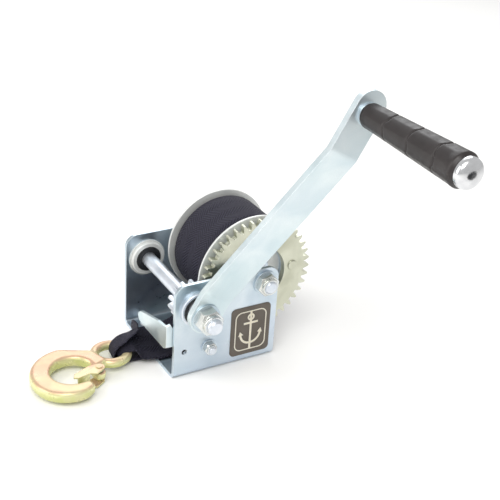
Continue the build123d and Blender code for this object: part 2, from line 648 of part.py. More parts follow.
def strap_tail():
    """The webbing from under the roll, over the base lip and along the floor, then gathered into a loop."""
    half = STRAP_WIDTH / 2
    clear = 0.5
    leave = 25.0
    roll_r = ROLL_R + clear

    def on_roll(r, a):
        return (DRUM_X + r * math.sin(math.radians(a)), DRUM_Z - r * math.cos(math.radians(a)))

    top_start = on_roll(roll_r, leave)
    top_end = on_roll(roll_r, -8.0)
    base_top = PLATE + 0.3
    bar_x = EYE_X + EYE_RING_R
    upper = [top_end, (2.0, 16.5), (-14.0, base_top + STRAP_THICK + 2.0), (-24.0, base_top + STRAP_THICK),
             (FRONT - 1.5, base_top + STRAP_THICK), (FRONT - 8.0, STRAP_THICK + 0.8)]
    lower = [(FRONT - 8.0, 0.4), (FRONT - 1.4, base_top - 0.8), (FRONT - 0.7, base_top), (-24.0, base_top),
             (-15.0, base_top + 1.4), (1.0, 14.8), on_roll(roll_r + STRAP_THICK, -8.0)]
    wrap = [ThreePointArc(top_start, on_roll(roll_r, 8.0), top_end)]
    under = [ThreePointArc(on_roll(roll_r + STRAP_THICK, -8.0), on_roll(roll_r + STRAP_THICK, 8.0),
                           on_roll(roll_r + STRAP_THICK, leave))]
    run_upper = Polyline(*upper)
    run_lower = Polyline(*lower)
    ends = [Line(upper[-1], lower[0]), Line(on_roll(roll_r + STRAP_THICK, leave), top_start)]
    profile = make_face([*wrap, run_upper, ends[0], run_lower, *under, ends[1]])
    run = side_plate(profile, STRAP_Y - half, STRAP_Y + half)
    across = {"x_dir": (0, 1, 0), "z_dir": (-1, 0, 0)}
    wide = Plane(origin=(FRONT - 7.5, STRAP_Y, 1.6), **across) * Rectangle(STRAP_WIDTH, 2.2)
    narrow_x = bar_x + LOOP_INNER_R + 1.2
    narrow = Plane(origin=(narrow_x, EYE_Y, HOOK_Z), **across) * Rectangle(LOOP_WIDTH, 15.0)
    gathered = loft([wide, narrow])
    loop = ring(LOOP_INNER_R + STRAP_THICK, LOOP_INNER_R, EYE_Y - LOOP_WIDTH / 2, EYE_Y + LOOP_WIDTH / 2,
                bar_x, HOOK_Z)
    return run + gathered + loop


def main():
    os.makedirs("parts", exist_ok=True)
    nodes = {
        "frame": frame(),
        "shaft_bush_near": shaft_bush(-1),
        "shaft_bush_far": shaft_bush(1),
        "shaft_washer_far": shaft_washer_far(),
        "drum_axle": drum_axle(),
        "axle_washer_near": axle_washer(NEAR_OUT - 1.6),
        "axle_washer_far": axle_washer(FAR_OUT),
        "axle_nut": axle_nut(),
        "axle_spacer_near": axle_spacer(NEAR_IN, FLANGE_NEAR - FLANGE_THICK - 1.0),
        "axle_spacer_far": axle_spacer(FLANGE_FAR + FLANGE_THICK + 0.6, FAR_IN),
        "pawl_pivot": pawl_pivot(),
        "pawl_pivot_washer": pawl_pivot_washer(),
        "pawl_pivot_nut": pawl_pivot_nut(),
        "label_plate": label_plate(),
        "label_mark": label_mark(),
        "strap_tail": strap_tail(),
        "drum_core": drum_core(),
        "drum_flange_near": flange(FLANGE_R_NEAR, FLANGE_NEAR - FLANGE_THICK, True),
        "drum_flange_far": flange(FLANGE_R_FAR, FLANGE_FAR, False),
        "drum_gear": drum_gear(),
        "gear_spacer": gear_spacer(),
        "drum_bush_near": drum_bush(FLANGE_NEAR - FLANGE_THICK, FLANGE_NEAR + 12.0),
        "drum_bush_far": drum_bush(FLANGE_FAR - 12.0, FLANGE_FAR + FLANGE_THICK),
        "strap_roll": strap_roll(),
        "strap_anchor_pin": strap_anchor_pin(),
        "drive_shaft": drive_shaft(),
        "pinion": pinion(),
        "shaft_circlip": shaft_circlip(),
        "hub_spacer": hub_spacer(),
        "crank_arm": crank_arm(),
        "crank_washer": crank_washer(),
        "crank_nut": crank_nut(),
        "grip_spindle": grip_spindle(),
        "grip_collar": grip_collar(),
        "grip_end_cap": grip_end_cap(),
        "grip": grip(),
        "pawl": pawl(),
        "hook_body": hook_body(),
        "latch_pin": latch_pin(),
        "latch_spring": latch_spring(),
        "hook_latch": hook_latch(),
    }
    for number, (x, z) in enumerate(rivet_places(), start=1):
        nodes[f"gear_rivet_{number}"] = gear_rivet(x, z)
    for name, shape in nodes.items():
        export_step(shape, f"parts/{name}.step")


main()
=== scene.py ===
"""Looks of a boat trailer winch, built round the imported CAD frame. Metres, +Z up, crank on the -Y side."""
import math

import bpy
from mathutils import Matrix, Vector, noise


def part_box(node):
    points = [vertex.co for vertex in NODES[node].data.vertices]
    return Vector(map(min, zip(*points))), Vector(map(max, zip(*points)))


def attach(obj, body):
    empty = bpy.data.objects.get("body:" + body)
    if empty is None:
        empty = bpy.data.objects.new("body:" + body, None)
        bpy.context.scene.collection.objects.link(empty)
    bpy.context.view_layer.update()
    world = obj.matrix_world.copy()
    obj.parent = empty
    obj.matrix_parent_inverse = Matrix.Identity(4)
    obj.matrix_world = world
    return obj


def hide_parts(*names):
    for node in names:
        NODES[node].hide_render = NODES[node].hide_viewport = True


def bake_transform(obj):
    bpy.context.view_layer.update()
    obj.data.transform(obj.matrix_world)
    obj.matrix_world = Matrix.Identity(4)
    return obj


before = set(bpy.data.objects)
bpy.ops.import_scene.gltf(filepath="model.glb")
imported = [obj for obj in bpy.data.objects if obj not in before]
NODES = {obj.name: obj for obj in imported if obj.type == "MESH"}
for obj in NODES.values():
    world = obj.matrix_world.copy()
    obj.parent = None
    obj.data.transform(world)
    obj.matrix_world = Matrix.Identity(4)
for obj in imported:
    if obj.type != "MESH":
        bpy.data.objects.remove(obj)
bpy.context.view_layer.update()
MM = 0.001


# ------------------------------------------------------------------ places, all from the CAD frame

def centre(node):
    low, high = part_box(node)
    return (Vector(low) + Vector(high)) / 2


def low(node):
    return Vector(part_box(node)[0])


def high(node):
    return Vector(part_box(node)[1])


# ------------------------------------------------------------------ material graphs

class Graph:
    """A Principled material that reads the piece's own coordinates, with short ways to add nodes."""

    def __init__(self, name, **settings):
        self.material = bpy.data.materials.new(name)
        self.material.use_nodes = True
        self.tree = self.material.node_tree
        self.shader = self.tree.nodes["Principled BSDF"]
        self.place = self.tree.nodes.new("ShaderNodeTexCoord").outputs["Object"]
        for socket, value in settings.items():
            self.shader.inputs[socket.replace("_", " ")].default_value = value

    def node(self, kind, inputs=None, **props):
        node = self.tree.nodes.new(kind)
        for key, value in props.items():
            setattr(node, key, value)
        for key, value in (inputs or {}).items():
            self.feed(node.inputs[key], value)
        return node

    def feed(self, socket, value):
        if isinstance(value, bpy.types.NodeSocket):
            self.tree.links.new(value, socket)
        else:
            socket.default_value = value

    def set(self, socket, value):
        self.feed(self.shader.inputs[socket], value)

    def math(self, operation, a, b=0.0, clamp=False):
        node = self.node("ShaderNodeMath", {0: a, 1: b}, operation=operation, use_clamp=clamp)
        return node.outputs[0]

    def noise(self, scale, detail=2.0, stretch=(1, 1, 1), roughness=0.5, distortion=0.0):
        where = self.place
        if tuple(stretch) != (1, 1, 1):
            where = self.node("ShaderNodeMapping", {"Vector": self.place, "Scale": stretch}).outputs[0]
        node = self.node("ShaderNodeTexNoise", {
            "Vector": where, "Scale": scale, "Detail": detail, "Roughness": roughness,
            "Distortion": distortion})
        return node.outputs["Fac"]

    def ramp(self, factor, *stops):
        node = self.node("ShaderNodeValToRGB", {"Fac": factor})
        elements = node.color_ramp.elements
        while len(elements) < len(stops):
            elements.new(0.5)
        for element, (position, colour) in zip(elements, stops):
            element.position = position
            element.color = (*colour, 1.0)
        return node.outputs["Color"]

    def mix(self, factor, a, b, blend="MIX"):
        node = self.node("ShaderNodeMix", data_type="RGBA", blend_type=blend)
        self.feed(node.inputs[0], factor)
        for socket, value in ((node.inputs[6], a), (node.inputs[7], b)):
            self.feed(socket, value if isinstance(value, bpy.types.NodeSocket) else (*value, 1.0))
        return node.outputs[2]

    def spread(self, factor, low_value, high_value, from_low=0.3, from_high=0.7):
        node = self.node("ShaderNodeMapRange", {
            "Value": factor, "From Min": from_low, "From Max": from_high,
            "To Min": low_value, "To Max": high_value})
        return node.outputs[0]

    def edge(self, radius):
        """Rounded-edge normal, and how far the surface is from flat there."""
        rounded = self.node("ShaderNodeBevel", {"Radius": radius}, samples=6).outputs[0]
        flat = self.node("ShaderNodeNewGeometry").outputs["Normal"]
        dot = self.node("ShaderNodeVectorMath", {0: rounded, 1: flat}, operation="DOT_PRODUCT")
        amount = self.math("SUBTRACT", 1.0, dot.outputs["Value"])
        return rounded, self.math("MULTIPLY", amount, 5.0, clamp=True)

    def bump(self, height, distance, strength=1.0, under=None):
        inputs = {"Height": height, "Distance": distance, "Strength": strength}
        if under is not None:
            inputs["Normal"] = under
        return self.node("ShaderNodeBump", inputs).outputs[0]


def plated(name, dark, light, edge_colour, rough=(0.26, 0.42), patch=28.0, tint=None, grain=(1, 1, 1),
           metal=1.0):
    """Bright plated steel: cloudy passivate colour, fine grain, rolled streaks and brighter worn edges."""
    graph = Graph(name, Metallic=metal)
    clouds = graph.noise(patch, detail=3.0, distortion=0.6)
    colour = graph.ramp(clouds, (0.32, dark), (0.68, light))
    if tint is not None:
        colour = graph.mix(graph.spread(graph.noise(patch * 0.45, detail=1.0), 0.0, 0.8), colour, tint)
    speckle = graph.noise(1400.0, detail=2.0)
    colour = graph.mix(graph.spread(speckle, 0.0, 0.18), colour, tuple(0.72 * c for c in light))
    rounded, worn = graph.edge(0.5 * MM)
    colour = graph.mix(graph.math("MULTIPLY", worn, 0.7), colour, edge_colour)
    graph.set("Base Color", colour)
    streaks = graph.noise(60.0, detail=4.0, stretch=grain, roughness=0.7)
    graph.set("Roughness", graph.spread(streaks, *rough))
    fine = graph.bump(graph.noise(900.0, detail=2.0, stretch=grain), 0.02 * MM, 0.3, rounded)
    graph.set("Normal", graph.bump(graph.noise(30.0, detail=1.0), 0.30 * MM, 0.10, fine))
    return graph.material


def hook_plating():
    """Yellow passivate with salmon, green and cream patches; the colour also follows the way the surface
    faces, the side walls and slopes painted lighter as a painted highlight.
    """
    graph = Graph("hook_yellow_zinc", Metallic=0.4)
    facing = graph.node("ShaderNodeSeparateXYZ", {
        "Vector": graph.node("ShaderNodeNewGeometry").outputs["Normal"]}).outputs["Z"]
    clouds = graph.noise(45.0, detail=2.0, distortion=1.0)
    shift = graph.math("ADD", facing, graph.spread(clouds, -0.25, 0.25))
    # colour by which way the surface faces: the lighter walls and slopes are a painted highlight, the patch
    # colours are the passivate's own
    colour = graph.ramp(shift, (0.0, (0.58, 0.60, 0.24)), (0.3, (0.78, 0.78, 0.42)),
                        (0.6, (0.72, 0.62, 0.32)), (0.85, (0.64, 0.42, 0.28)))
    green = graph.spread(graph.noise(38.0, detail=2.0, distortion=0.8), 0.0, 0.65, 0.46, 0.66)
    colour = graph.mix(green, colour, (0.66, 0.62, 0.36))
    rounded, worn = graph.edge(0.5 * MM)
    colour = graph.mix(graph.math("MULTIPLY", worn, 0.4), colour, (0.80, 0.76, 0.50))
    graph.set("Base Color", colour)
    graph.set("Roughness", graph.spread(graph.noise(120.0, detail=3.0), 0.24, 0.38))
    pitted = graph.bump(graph.noise(350.0, detail=1.0), 0.02 * MM, 0.3, rounded)
    graph.set("Normal", graph.bump(graph.noise(60.0, detail=1.0), 0.4 * MM, 0.25, pitted))
    return graph.material


def webbing():
    """Herringbone weave from the strap's own UVs, which are in metres along and across it."""
    graph = Graph("webbing_weave", Roughness=0.7, Sheen_Weight=0.05, Sheen_Roughness=0.4,
                  Specular_IOR_Level=0.3)
    graph.shader.inputs["Sheen Tint"].default_value = (0.62, 0.60, 0.78, 1.0)
    split = graph.node("ShaderNodeSeparateXYZ", {"Vector": graph.node("ShaderNodeUVMap").outputs[0]})
    along = split.outputs["X"]
    across = split.outputs["Y"]
    chevron, rib_pitch, thread_pitch = 8.5 * MM, 2.8 * MM, 1.05 * MM
    slant = graph.math("PINGPONG", graph.math("ADD", across, 0.1), chevron)
    slanted = graph.math("ADD", along, slant)
    rib = graph.math("SINE", graph.math("MULTIPLY", slanted, 2 * math.pi / rib_pitch))
    thread = graph.math("SINE", graph.math("MULTIPLY", across, 2 * math.pi / thread_pitch))
    height = graph.math("ADD", graph.math("MULTIPLY", rib, 0.38), graph.math("MULTIPLY", thread, 0.12))
    height = graph.math("ADD", height, 0.5)
    fuzz = graph.noise(2600.0, detail=2.0)
    wear = graph.noise(38.0, detail=3.0)
    # the herringbone is the weave's pattern; its grooves are painted far darker than the rib tops, a painted
    # shade
    colour = graph.ramp(height, (0.05, (0.001, 0.001, 0.003)), (0.95, (0.030, 0.028, 0.052)))
    colour = graph.mix(graph.spread(wear, 0.0, 0.35), colour, (0.012, 0.011, 0.021))
    colour = graph.mix(graph.spread(fuzz, 0.0, 0.2), colour, (0.030, 0.028, 0.048))
    graph.set("Base Color", colour)
    woven = graph.bump(height, 0.60 * MM, 1.0)
    graph.set("Normal", graph.bump(fuzz, 0.05 * MM, 0.4, woven))
    return graph.material


def moulded(name, dark, light, rough=(0.38, 0.55), grain=1500.0, depth=0.04):
    """Moulded plastic: fine texture, faint mottling and paler rubbed edges."""
    graph = Graph(name, Specular_IOR_Level=0.5)
    mottled = graph.ramp(graph.noise(55.0, detail=3.0), (0.3, dark), (0.7, light))
    rounded, worn = graph.edge(0.5 * MM)
    rubbed = tuple(min(1.0, 1.9 * c + 0.02) for c in light)
    graph.set("Base Color", graph.mix(graph.math("MULTIPLY", worn, 0.6), mottled, rubbed))
    graph.set("Roughness", graph.spread(graph.noise(220.0, detail=2.0), *rough))
    graph.set("Normal", graph.bump(graph.noise(grain, detail=2.0), depth * MM, 0.6, rounded))
    return graph.material


def chrome():
    """Bright domed cap with a faint haze."""
    graph = Graph("cap_chrome", Metallic=1.0)
    haze = graph.noise(180.0, detail=4.0)
    graph.set("Base Color", graph.ramp(haze, (0.3, (0.66, 0.67, 0.69)), (0.7, (0.82, 0.83, 0.85))))
    graph.set("Roughness", graph.spread(haze, 0.12, 0.24))
    graph.set("Normal", graph.bump(graph.noise(140.0, detail=2.0), 0.06 * MM, 0.35))
    return graph.material


def floor_material():
    """Matt off-white paper."""
    graph = Graph("floor_paper", Roughness=0.9, Specular_IOR_Level=0.1)
    soft = graph.noise(3.0, detail=1.0)
    graph.set("Base Color", graph.ramp(soft, (0.2, (0.93, 0.925, 0.915)), (0.8, (0.95, 0.945, 0.935))))
    return graph.material


BLUE = plated("zinc_blue_white", (0.46, 0.57, 0.64), (0.74, 0.82, 0.85), (0.92, 0.95, 0.96),
              tint=(0.58, 0.66, 0.78), grain=(1, 1, 4))
PALE = plated("zinc_pale", (0.66, 0.68, 0.67), (0.82, 0.83, 0.81), (0.92, 0.92, 0.90),
              rough=(0.35, 0.5), metal=0.35)
ARM = plated("arm_blue_white", (0.58, 0.71, 0.75), (0.80, 0.88, 0.89), (0.84, 0.85, 0.87), rough=(0.32, 0.48),
             tint=(0.70, 0.78, 0.84), metal=0.85)
STEEL = plated("steel_bright", (0.66, 0.72, 0.80), (0.84, 0.87, 0.92), (0.96, 0.96, 0.97),
               rough=(0.30, 0.44), patch=60.0, metal=0.85)
NUT = plated("nut_zinc", (0.60, 0.62, 0.58), (0.82, 0.82, 0.78), (0.97, 0.97, 0.94),
             rough=(0.14, 0.28), patch=120.0, tint=(0.74, 0.80, 0.84))
GEAR = plated("gear_pale_zinc", (0.50, 0.51, 0.40), (0.70, 0.71, 0.59), (0.90, 0.90, 0.80),
              rough=(0.30, 0.44), patch=40.0)
HOOK = hook_plating()
WEB = webbing()
GRIP = moulded("grip_black", (0.011, 0.008, 0.008), (0.022, 0.017, 0.017), rough=(0.34, 0.50))
# nearly black material for the rings in the shaft bushes: painted shade in their recesses
SHADE_RING_BLACK = moulded("bush_painted_shade", (0.006, 0.007, 0.009), (0.018, 0.020, 0.024), rough=(0.5, 0.7))
WIRE = plated("spring_wire", (0.12, 0.11, 0.08), (0.28, 0.26, 0.20), (0.5, 0.5, 0.4), patch=200.0)
NYLON = moulded("nylon_insert", (0.62, 0.66, 0.70), (0.76, 0.79, 0.80), rough=(0.4, 0.5))
LABEL = moulded("label_print", (0.085, 0.070, 0.055), (0.115, 0.096, 0.078), rough=(0.3, 0.4), depth=0.01)
CREAM = moulded("label_cream", (0.70, 0.64, 0.50), (0.82, 0.77, 0.64), rough=(0.35, 0.45), depth=0.01)

FINISH = {
    BLUE: ("frame", "axle_washer_near", "axle_washer_far", "axle_spacer_near", "axle_spacer_far",
           "gear_spacer", "drum_core", "pawl_pivot_washer", "crank_washer", "grip_collar"),
    PALE: ("drum_flange_near", "drum_flange_far", "shaft_bush_far", "shaft_washer_far"),
    ARM: ("crank_arm", "pawl"),
    STEEL: ("drive_shaft", "drum_axle", "shaft_circlip", "shaft_bush_near", "pinion",
            "drum_bush_near", "drum_bush_far", "hub_spacer", "pawl_pivot", "strap_anchor_pin",
            "grip_spindle"),
    NUT: ("axle_nut", "crank_nut", "pawl_pivot_nut"),
    GEAR: ("drum_gear", "gear_rivet_1", "gear_rivet_2", "gear_rivet_3", "gear_rivet_4"),
    HOOK: ("hook_body", "hook_latch", "latch_pin"),
    LABEL: ("label_plate",),
    CREAM: ("label_mark",),
}
for material, names in FINISH.items():
    for name in names:
        for slot in NODES[name].material_slots:
            slot.material = material
for slot in NODES["grip_end_cap"].material_slots:
    slot.material = chrome()


# ------------------------------------------------------------------ mesh helpers

def new_piece(name, verts, faces, material, body, uvs=None, smooth=True):
    mesh = bpy.data.meshes.new(name)
    mesh.from_pydata([tuple(v) for v in verts], [], faces)
    if uvs is not None:
        layer = mesh.uv_layers.new(name="UVMap")
        for loop in mesh.loops:
            layer.data[loop.index].uv = uvs[loop.vertex_index]
    mesh.materials.append(material)
    mesh.polygons.foreach_set("use_smooth", [smooth] * len(mesh.polygons))
    mesh.update()
    piece = bpy.data.objects.new(name, mesh)
    bpy.context.scene.collection.objects.link(piece)
    if body is not None:
        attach(piece, body)
    return piece


def grid_faces(rows, columns, wrap_rows=False, wrap_columns=False):
    """Quads over a grid of points stored row by row."""
    faces = []
    for i in range(rows if wrap_rows else rows - 1):
        for j in range(columns if wrap_columns else columns - 1):
            a = i * columns + j
            b = i * columns + (j + 1) % columns
            c = (i + 1) % rows * columns + (j + 1) % columns
            d = (i + 1) % rows * columns + j
            faces.append((a, b, c, d))
    return faces


def lathe(name, profile, around, material, body, shape=None):
    """A closed ring about the Y axis through around (x, z); profile is (radius, y) pairs, in metres."""
    turns = 96
    verts = []
    for radius, y in profile:
        for j in range(turns):
            angle = 2 * math.pi * j / turns
            r = radius if shape is None else shape(radius, y, angle)
            verts.append((around[0] + r * math.cos(angle), y, around[1] + r * math.sin(angle)))
    faces = grid_faces(len(profile), turns, wrap_rows=True, wrap_columns=True)
    return new_piece(name, verts, faces, material, body)


# ------------------------------------------------------------------ wound strap on the drum

DRUM = centre("drum_flange_near")
ROLL_HIGH_R = (high("strap_roll") - low("strap_roll")).x / 2
CORE_R = (high("drum_core") - low("drum_core")).x / 2
STRAP_WIDTH = (high("strap_roll") - low("strap_roll")).y
STRAP_Y = centre("strap_roll").y
STRAP_THICK = 1.6 * MM


def wound_roll():
    """One long ribbon wound from the core outwards; each turn lies a little to one side of the last."""
    per_turn = 90
    turns = (ROLL_HIGH_R - CORE_R - 0.4 * MM) / STRAP_THICK
    steps = int(turns * per_turn)
    side_gap = 0.5 * MM
    half = STRAP_WIDTH / 2 - side_gap
    layer = 0.44 * STRAP_THICK
    wander, rippling = 0.5 * MM, 0.15 * MM
    section = [(-half, -0.6), (-half * 0.985, 1.0), (-half * 0.5, 1.0), (0.0, 1.0), (half * 0.5, 1.0),
               (half * 0.985, 1.0), (half, -0.6), (half * 0.96, -1.0), (0.0, -1.0), (-half * 0.96, -1.0)]
    verts, uvs, length = [], [], 0.0
    start = math.radians(-65.0)
    for i in range(steps):
        turn = i / per_turn
        angle = start - 2 * math.pi * (turn - turns)
        radius = CORE_R + 0.2 * MM + STRAP_THICK * (turn + 0.5)
        radius = min(radius, ROLL_HIGH_R - 0.8 * MM)
        length += radius * 2 * math.pi / per_turn
        shift = wander * noise.noise(Vector((turn * 1.3, 4.0, 0.0)))
        for across, lift in section:
            ripple = rippling * noise.noise(Vector((turn * 6.0, across * 60.0, 1.0)))
            r = radius + lift * layer + ripple
            y = STRAP_Y + across + shift
            verts.append((DRUM.x + r * math.cos(angle), y, DRUM.z + r * math.sin(angle)))
            uvs.append((length, across))
    faces = grid_faces(steps, len(section), wrap_columns=True)
    count = len(section)
    faces.append(tuple(reversed(range(count))))
    faces.append(tuple(range((steps - 1) * count, steps * count)))
    piece = new_piece("wound_strap", verts, faces, WEB, "drum", uvs)
    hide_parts("strap_roll")


wound_roll()


# ------------------------------------------------------------------ strap from the drum to the hook

def smooth_step(value, start, end):
    t = min(1.0, max(0.0, (value - start) / (end - start)))
    return t * t * (3 - 2 * t)


def strap_route():
    """Side view of the strap as (x, z) in mm, from under the roll, over the base, round the eye and back."""
    roll_r = ROLL_HIGH_R / MM + 1.4
    route = []
    for degrees in (25, 14, 3, -8):
        a = math.radians(degrees)
        route.append((DRUM.x / MM + roll_r * math.sin(a), DRUM.z / MM - roll_r * math.cos(a)))
    route += [(12.0, 22.0), (0.0, 14.6), (-12.0, 7.0), (-22.0, 4.4), (-34.0, 4.2), (-44.0, 4.2), (-49.0, 4.8),
              (-54.0, 7.2), (-59.0, 10.8), (-64.5, 13.6), (-70.0, 14.2), (-74.4, 12.2), (-76.0, 9.0),
              (-75.8, 5.6), (-73.5, 3.2), (-69.0, 2.6), (-64.0, 2.5), (-58.0, 2.5), (-53.0, 2.6),
              (-50.0, 2.7)]
    return route


def spline_points(points, per_span):
    """Catmull-Rom points through a list of 2-D points, ends included."""
    out = []
    padded = [points[0]] + list(points) + [points[-1]]
    for i in range(1, len(padded) - 2):
        p0, p1, p2, p3 = padded[i - 1:i + 3]
        for k in range(per_span):
            t = k / per_span
            out.append(tuple(
                0.5 * (2 * b + (c - a) * t + (2 * a - 5 * b + 4 * c - d) * t * t
                       + (3 * b - a - 3 * c + d) * t ** 3)
                for a, b, c, d in zip(p0, p1, p2, p3)))
    out.append(tuple(points[-1]))
    return out


PER_SPAN = 6
LIP, LOOP_START, UNDER = (PER_SPAN * point for point in (10, 14, 18))
FOLD_LIMIT = 9.0
FLOOR_CLEARANCE = 0.85


def folded(w, bend_r, fold):
    """Where a thread w mm off the centre line goes, sideways and outwards, when the far half folds over."""
    bend = min(w / bend_r, fold)
    rest = max(0.0, w - bend * bend_r)
    sideways = bend_r * math.sin(bend) + rest * math.cos(bend)
    outwards = bend_r * (1 - math.cos(bend)) + rest * math.sin(bend)
    return sideways, min(outwards, FOLD_LIMIT + 0.22 * (outwards - FOLD_LIMIT))


def strap_tail():
    """The strap from the drum, folded lengthwise at the frame's lip and passed round the hook's eye."""
    line = spline_points(strap_route(), PER_SPAN)
    columns = 33
    half = STRAP_WIDTH / MM / 2
    middle = -half / 2
    verts, uvs = [], []
    travelled = 0.0
    last = len(line) - 1
    for i, (x, z) in enumerate(line):
        ahead = line[min(i + 1, last)]
        behind = line[max(i - 1, 0)]
        run = Vector((ahead[0] - behind[0], 0, ahead[1] - behind[1])).normalized()
        out = Vector((-run.z, 0, run.x)) * -1.0
        if i > 0:
            travelled += math.dist(line[i], line[i - 1])
        fold = math.pi * 0.98 * smooth_step(i, LIP - 3, LOOP_START + 2)
        squeeze = (1.0 - 0.36 * smooth_step(i, LIP + 6, LOOP_START + 8)
                   + 0.22 * smooth_step(i, UNDER + 4, last))
        bend_r = (2.3 - 0.7 * smooth_step(i, LIP + 6, LOOP_START)
                  - 0.7 * smooth_step(i, UNDER - 10, UNDER + 3))
        drift = 5.0 * smooth_step(i, LIP - 6, LOOP_START)
        droop = smooth_step(i, LIP, LIP + 10) * (1 - smooth_step(i, LOOP_START - 16, LOOP_START - 6))
        tuck = (smooth_step(i, LOOP_START - 8, LOOP_START)
                * (1 - smooth_step(i, LOOP_START + 8, LOOP_START + 16)))
        crumple = smooth_step(i, LIP - 4, LOOP_START)
        for j in range(columns):
            w = half * (2 * j / (columns - 1) - 1)
            if w <= 0:
                edge = (w / half) ** 2
                sideways = w
                outwards = -droop * edge * 0.55 * max(0.0, z - 1.2) - tuck * edge * 2.2
            else:
                sideways, outwards = folded(w, bend_r, fold)
            outwards += crumple * 0.5 * noise.noise(Vector((travelled * 0.06, w * 0.12, 3.0)))
            sideways = middle + (sideways - middle) * squeeze + drift
            point = Vector((x, STRAP_Y / MM + sideways, z)) + out * outwards
            point.z = max(point.z, FLOOR_CLEARANCE)
            verts.append(point * MM)
            uvs.append((travelled * MM, w * MM))
    faces = grid_faces(len(line), columns)
    piece = new_piece("strap_lead", verts, faces, WEB, None, uvs)
    solid = piece.modifiers.new("thickness", "SOLIDIFY")
    solid.thickness = STRAP_THICK * 0.92
    solid.offset = 0.0
    smooth = piece.modifiers.new("smooth", "SUBSURF")
    smooth.levels = 1
    smooth.render_levels = 1
    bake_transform(piece)
    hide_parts("strap_tail")


strap_tail()


# ------------------------------------------------------------------ forged hook

def forged_hook():
    """The CAD hook as one rounded forging: remeshed finely, then smoothed, most of all round its bowl."""
    mesh = NODES["hook_body"].data.copy()
    mesh.name = "hook_forged"
    mesh.materials.clear()
    mesh.materials.append(HOOK)
    piece = bpy.data.objects.new("hook_forged", mesh)
    bpy.context.scene.collection.objects.link(piece)
    remesh = piece.modifiers.new("remesh", "REMESH")
    remesh.mode = "VOXEL"
    remesh.voxel_size = 0.8 * MM
    evaluated = piece.evaluated_get(bpy.context.evaluated_depsgraph_get())
    fine = bpy.data.meshes.new_from_object(evaluated)
    piece.modifiers.clear()
    piece.data = fine
    fine.polygons.foreach_set("use_smooth", [True] * len(fine.polygons))
    bowl = piece.vertex_groups.new(name="bowl")
    hinge = centre("latch_pin")
    for vertex in fine.vertices:
        from_hinge = math.dist(vertex.co.xy, hinge.xy) / MM
        weight = smooth_step(hinge.x - vertex.co.x, -6 * MM, 4 * MM) * smooth_step(from_hinge, 6.0, 12.0)
        bowl.add([vertex.index], weight, "REPLACE")
    swell = piece.modifiers.new("swell", "DISPLACE")
    swell.strength = 0.1 * MM
    swell.mid_level = 0.0
    swell.vertex_group = "bowl"
    for name, rounds, group in (("round_all", 6, ""), ("round_bowl", 30, "bowl")):
        smooth = piece.modifiers.new(name, "SMOOTH")
        smooth.factor = 0.5
        smooth.iterations = rounds
        smooth.vertex_group = group
    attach(piece, "hook")
    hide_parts("hook_body")


forged_hook()


# ------------------------------------------------------------------ moulded grip

def moulded_grip():
    """Tapered grip with eight soft flats, three grooves and a rolled rim at each end."""
    box_low, box_high = low("grip"), high("grip")
    axis = centre("grip_collar")
    length = box_high.y - box_low.y
    r_out = (box_high.x - box_low.x) / 2
    r_in = r_out - 3.6 * MM
    bore = 4.3 * MM
    grooves = (0.27, 0.53, 0.80)
    groove_depth = 0.85 * MM
    steps = 150

    def radius(share):
        r = r_in + (r_out - r_in) * share
        r -= 1.3 * MM * (1 - smooth_step(share * length, 0.0, 1.6 * MM))
        r -= 2.0 * MM * smooth_step(share * length, length - 3.2 * MM, length)
        return r

    def shape(r, y, angle):
        share = (box_high.y - y) / length
        if r <= bore + 1e-6:
            return r
        flat = math.cos(math.pi / 8) / math.cos((angle + math.pi / 8) % (math.pi / 4) - math.pi / 8)
        soft = 1.0 - 0.55 * (1.0 - flat)
        ends = smooth_step(share, 0.02, 0.07) * (1 - smooth_step(share, 0.90, 0.965))
        r *= 1.0 - ends * (1.0 - soft)
        for k, at in enumerate(grooves):
            wander = 0.010 * math.sin(4 * angle + k)
            dist = abs(share - at - wander) * length
            r -= groove_depth * (1 - smooth_step(dist, 0.25 * MM, 0.95 * MM))
        return r

    profile = [(bore, box_high.y)]
    profile += [(radius(i / steps), box_high.y - length * i / steps) for i in range(steps + 1)]
    profile += [(bore, box_low.y)]
    piece = lathe("grip_sleeve_moulded", profile, (axis.x, axis.z), GRIP, "grip_sleeve", shape)
    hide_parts("grip")


moulded_grip()


# ------------------------------------------------------------------ threads, nut inserts and latch spring

def thread(name, node_for_axis, core_r, y_from, y_to, pitch, body):
    """A helical ridge over the bare end of a bolt, from y_from out to y_to."""
    at = centre(node_for_axis)
    per_turn, rows_per_pitch, run_out = 40, 14, 4
    ridge_height = 0.32 * MM
    rows = int(abs(y_to - y_from) / pitch * rows_per_pitch)
    verts = []
    for i in range(rows + 1):
        y = y_from + (y_to - y_from) * i / rows
        for j in range(per_turn):
            share = j / per_turn
            phase = ((y - y_from) / pitch + share) % 1.0
            ridge = 1.0 - abs(2 * phase - 1.0)
            end = min(1.0, min(i, rows - i) / run_out)
            r = core_r + 0.02 * MM + ridge_height * ridge * end
            angle = 2 * math.pi * share
            verts.append((at.x + r * math.cos(angle), y, at.z + r * math.sin(angle)))
    for y in (y_to, y_from):
        for j in range(per_turn):
            angle = 2 * math.pi * j / per_turn
            r = core_r - 0.6 * MM
            verts.append((at.x + r * math.cos(angle), y, at.z + r * math.sin(angle)))
    faces = grid_faces(rows + 3, per_turn, wrap_rows=True, wrap_columns=True)
    return new_piece(name, verts, faces, STEEL, body)


def nut_insert(name, nut, bolt_r, body):
    """The pale nylon ring in the nut's collar."""
    at = centre(nut)
    face = low(nut).y
    outer = bolt_r + 1.1 * MM
    inner = bolt_r + 0.25 * MM
    profile = [(inner, face + 0.8 * MM), (inner, face - 0.05 * MM), (inner + 0.3 * MM, face - 0.12 * MM),
               (outer - 0.3 * MM, face - 0.12 * MM), (outer, face + 0.05 * MM), (outer, face + 0.8 * MM)]
    return lathe(name, profile, (at.x, at.z), NYLON, body)


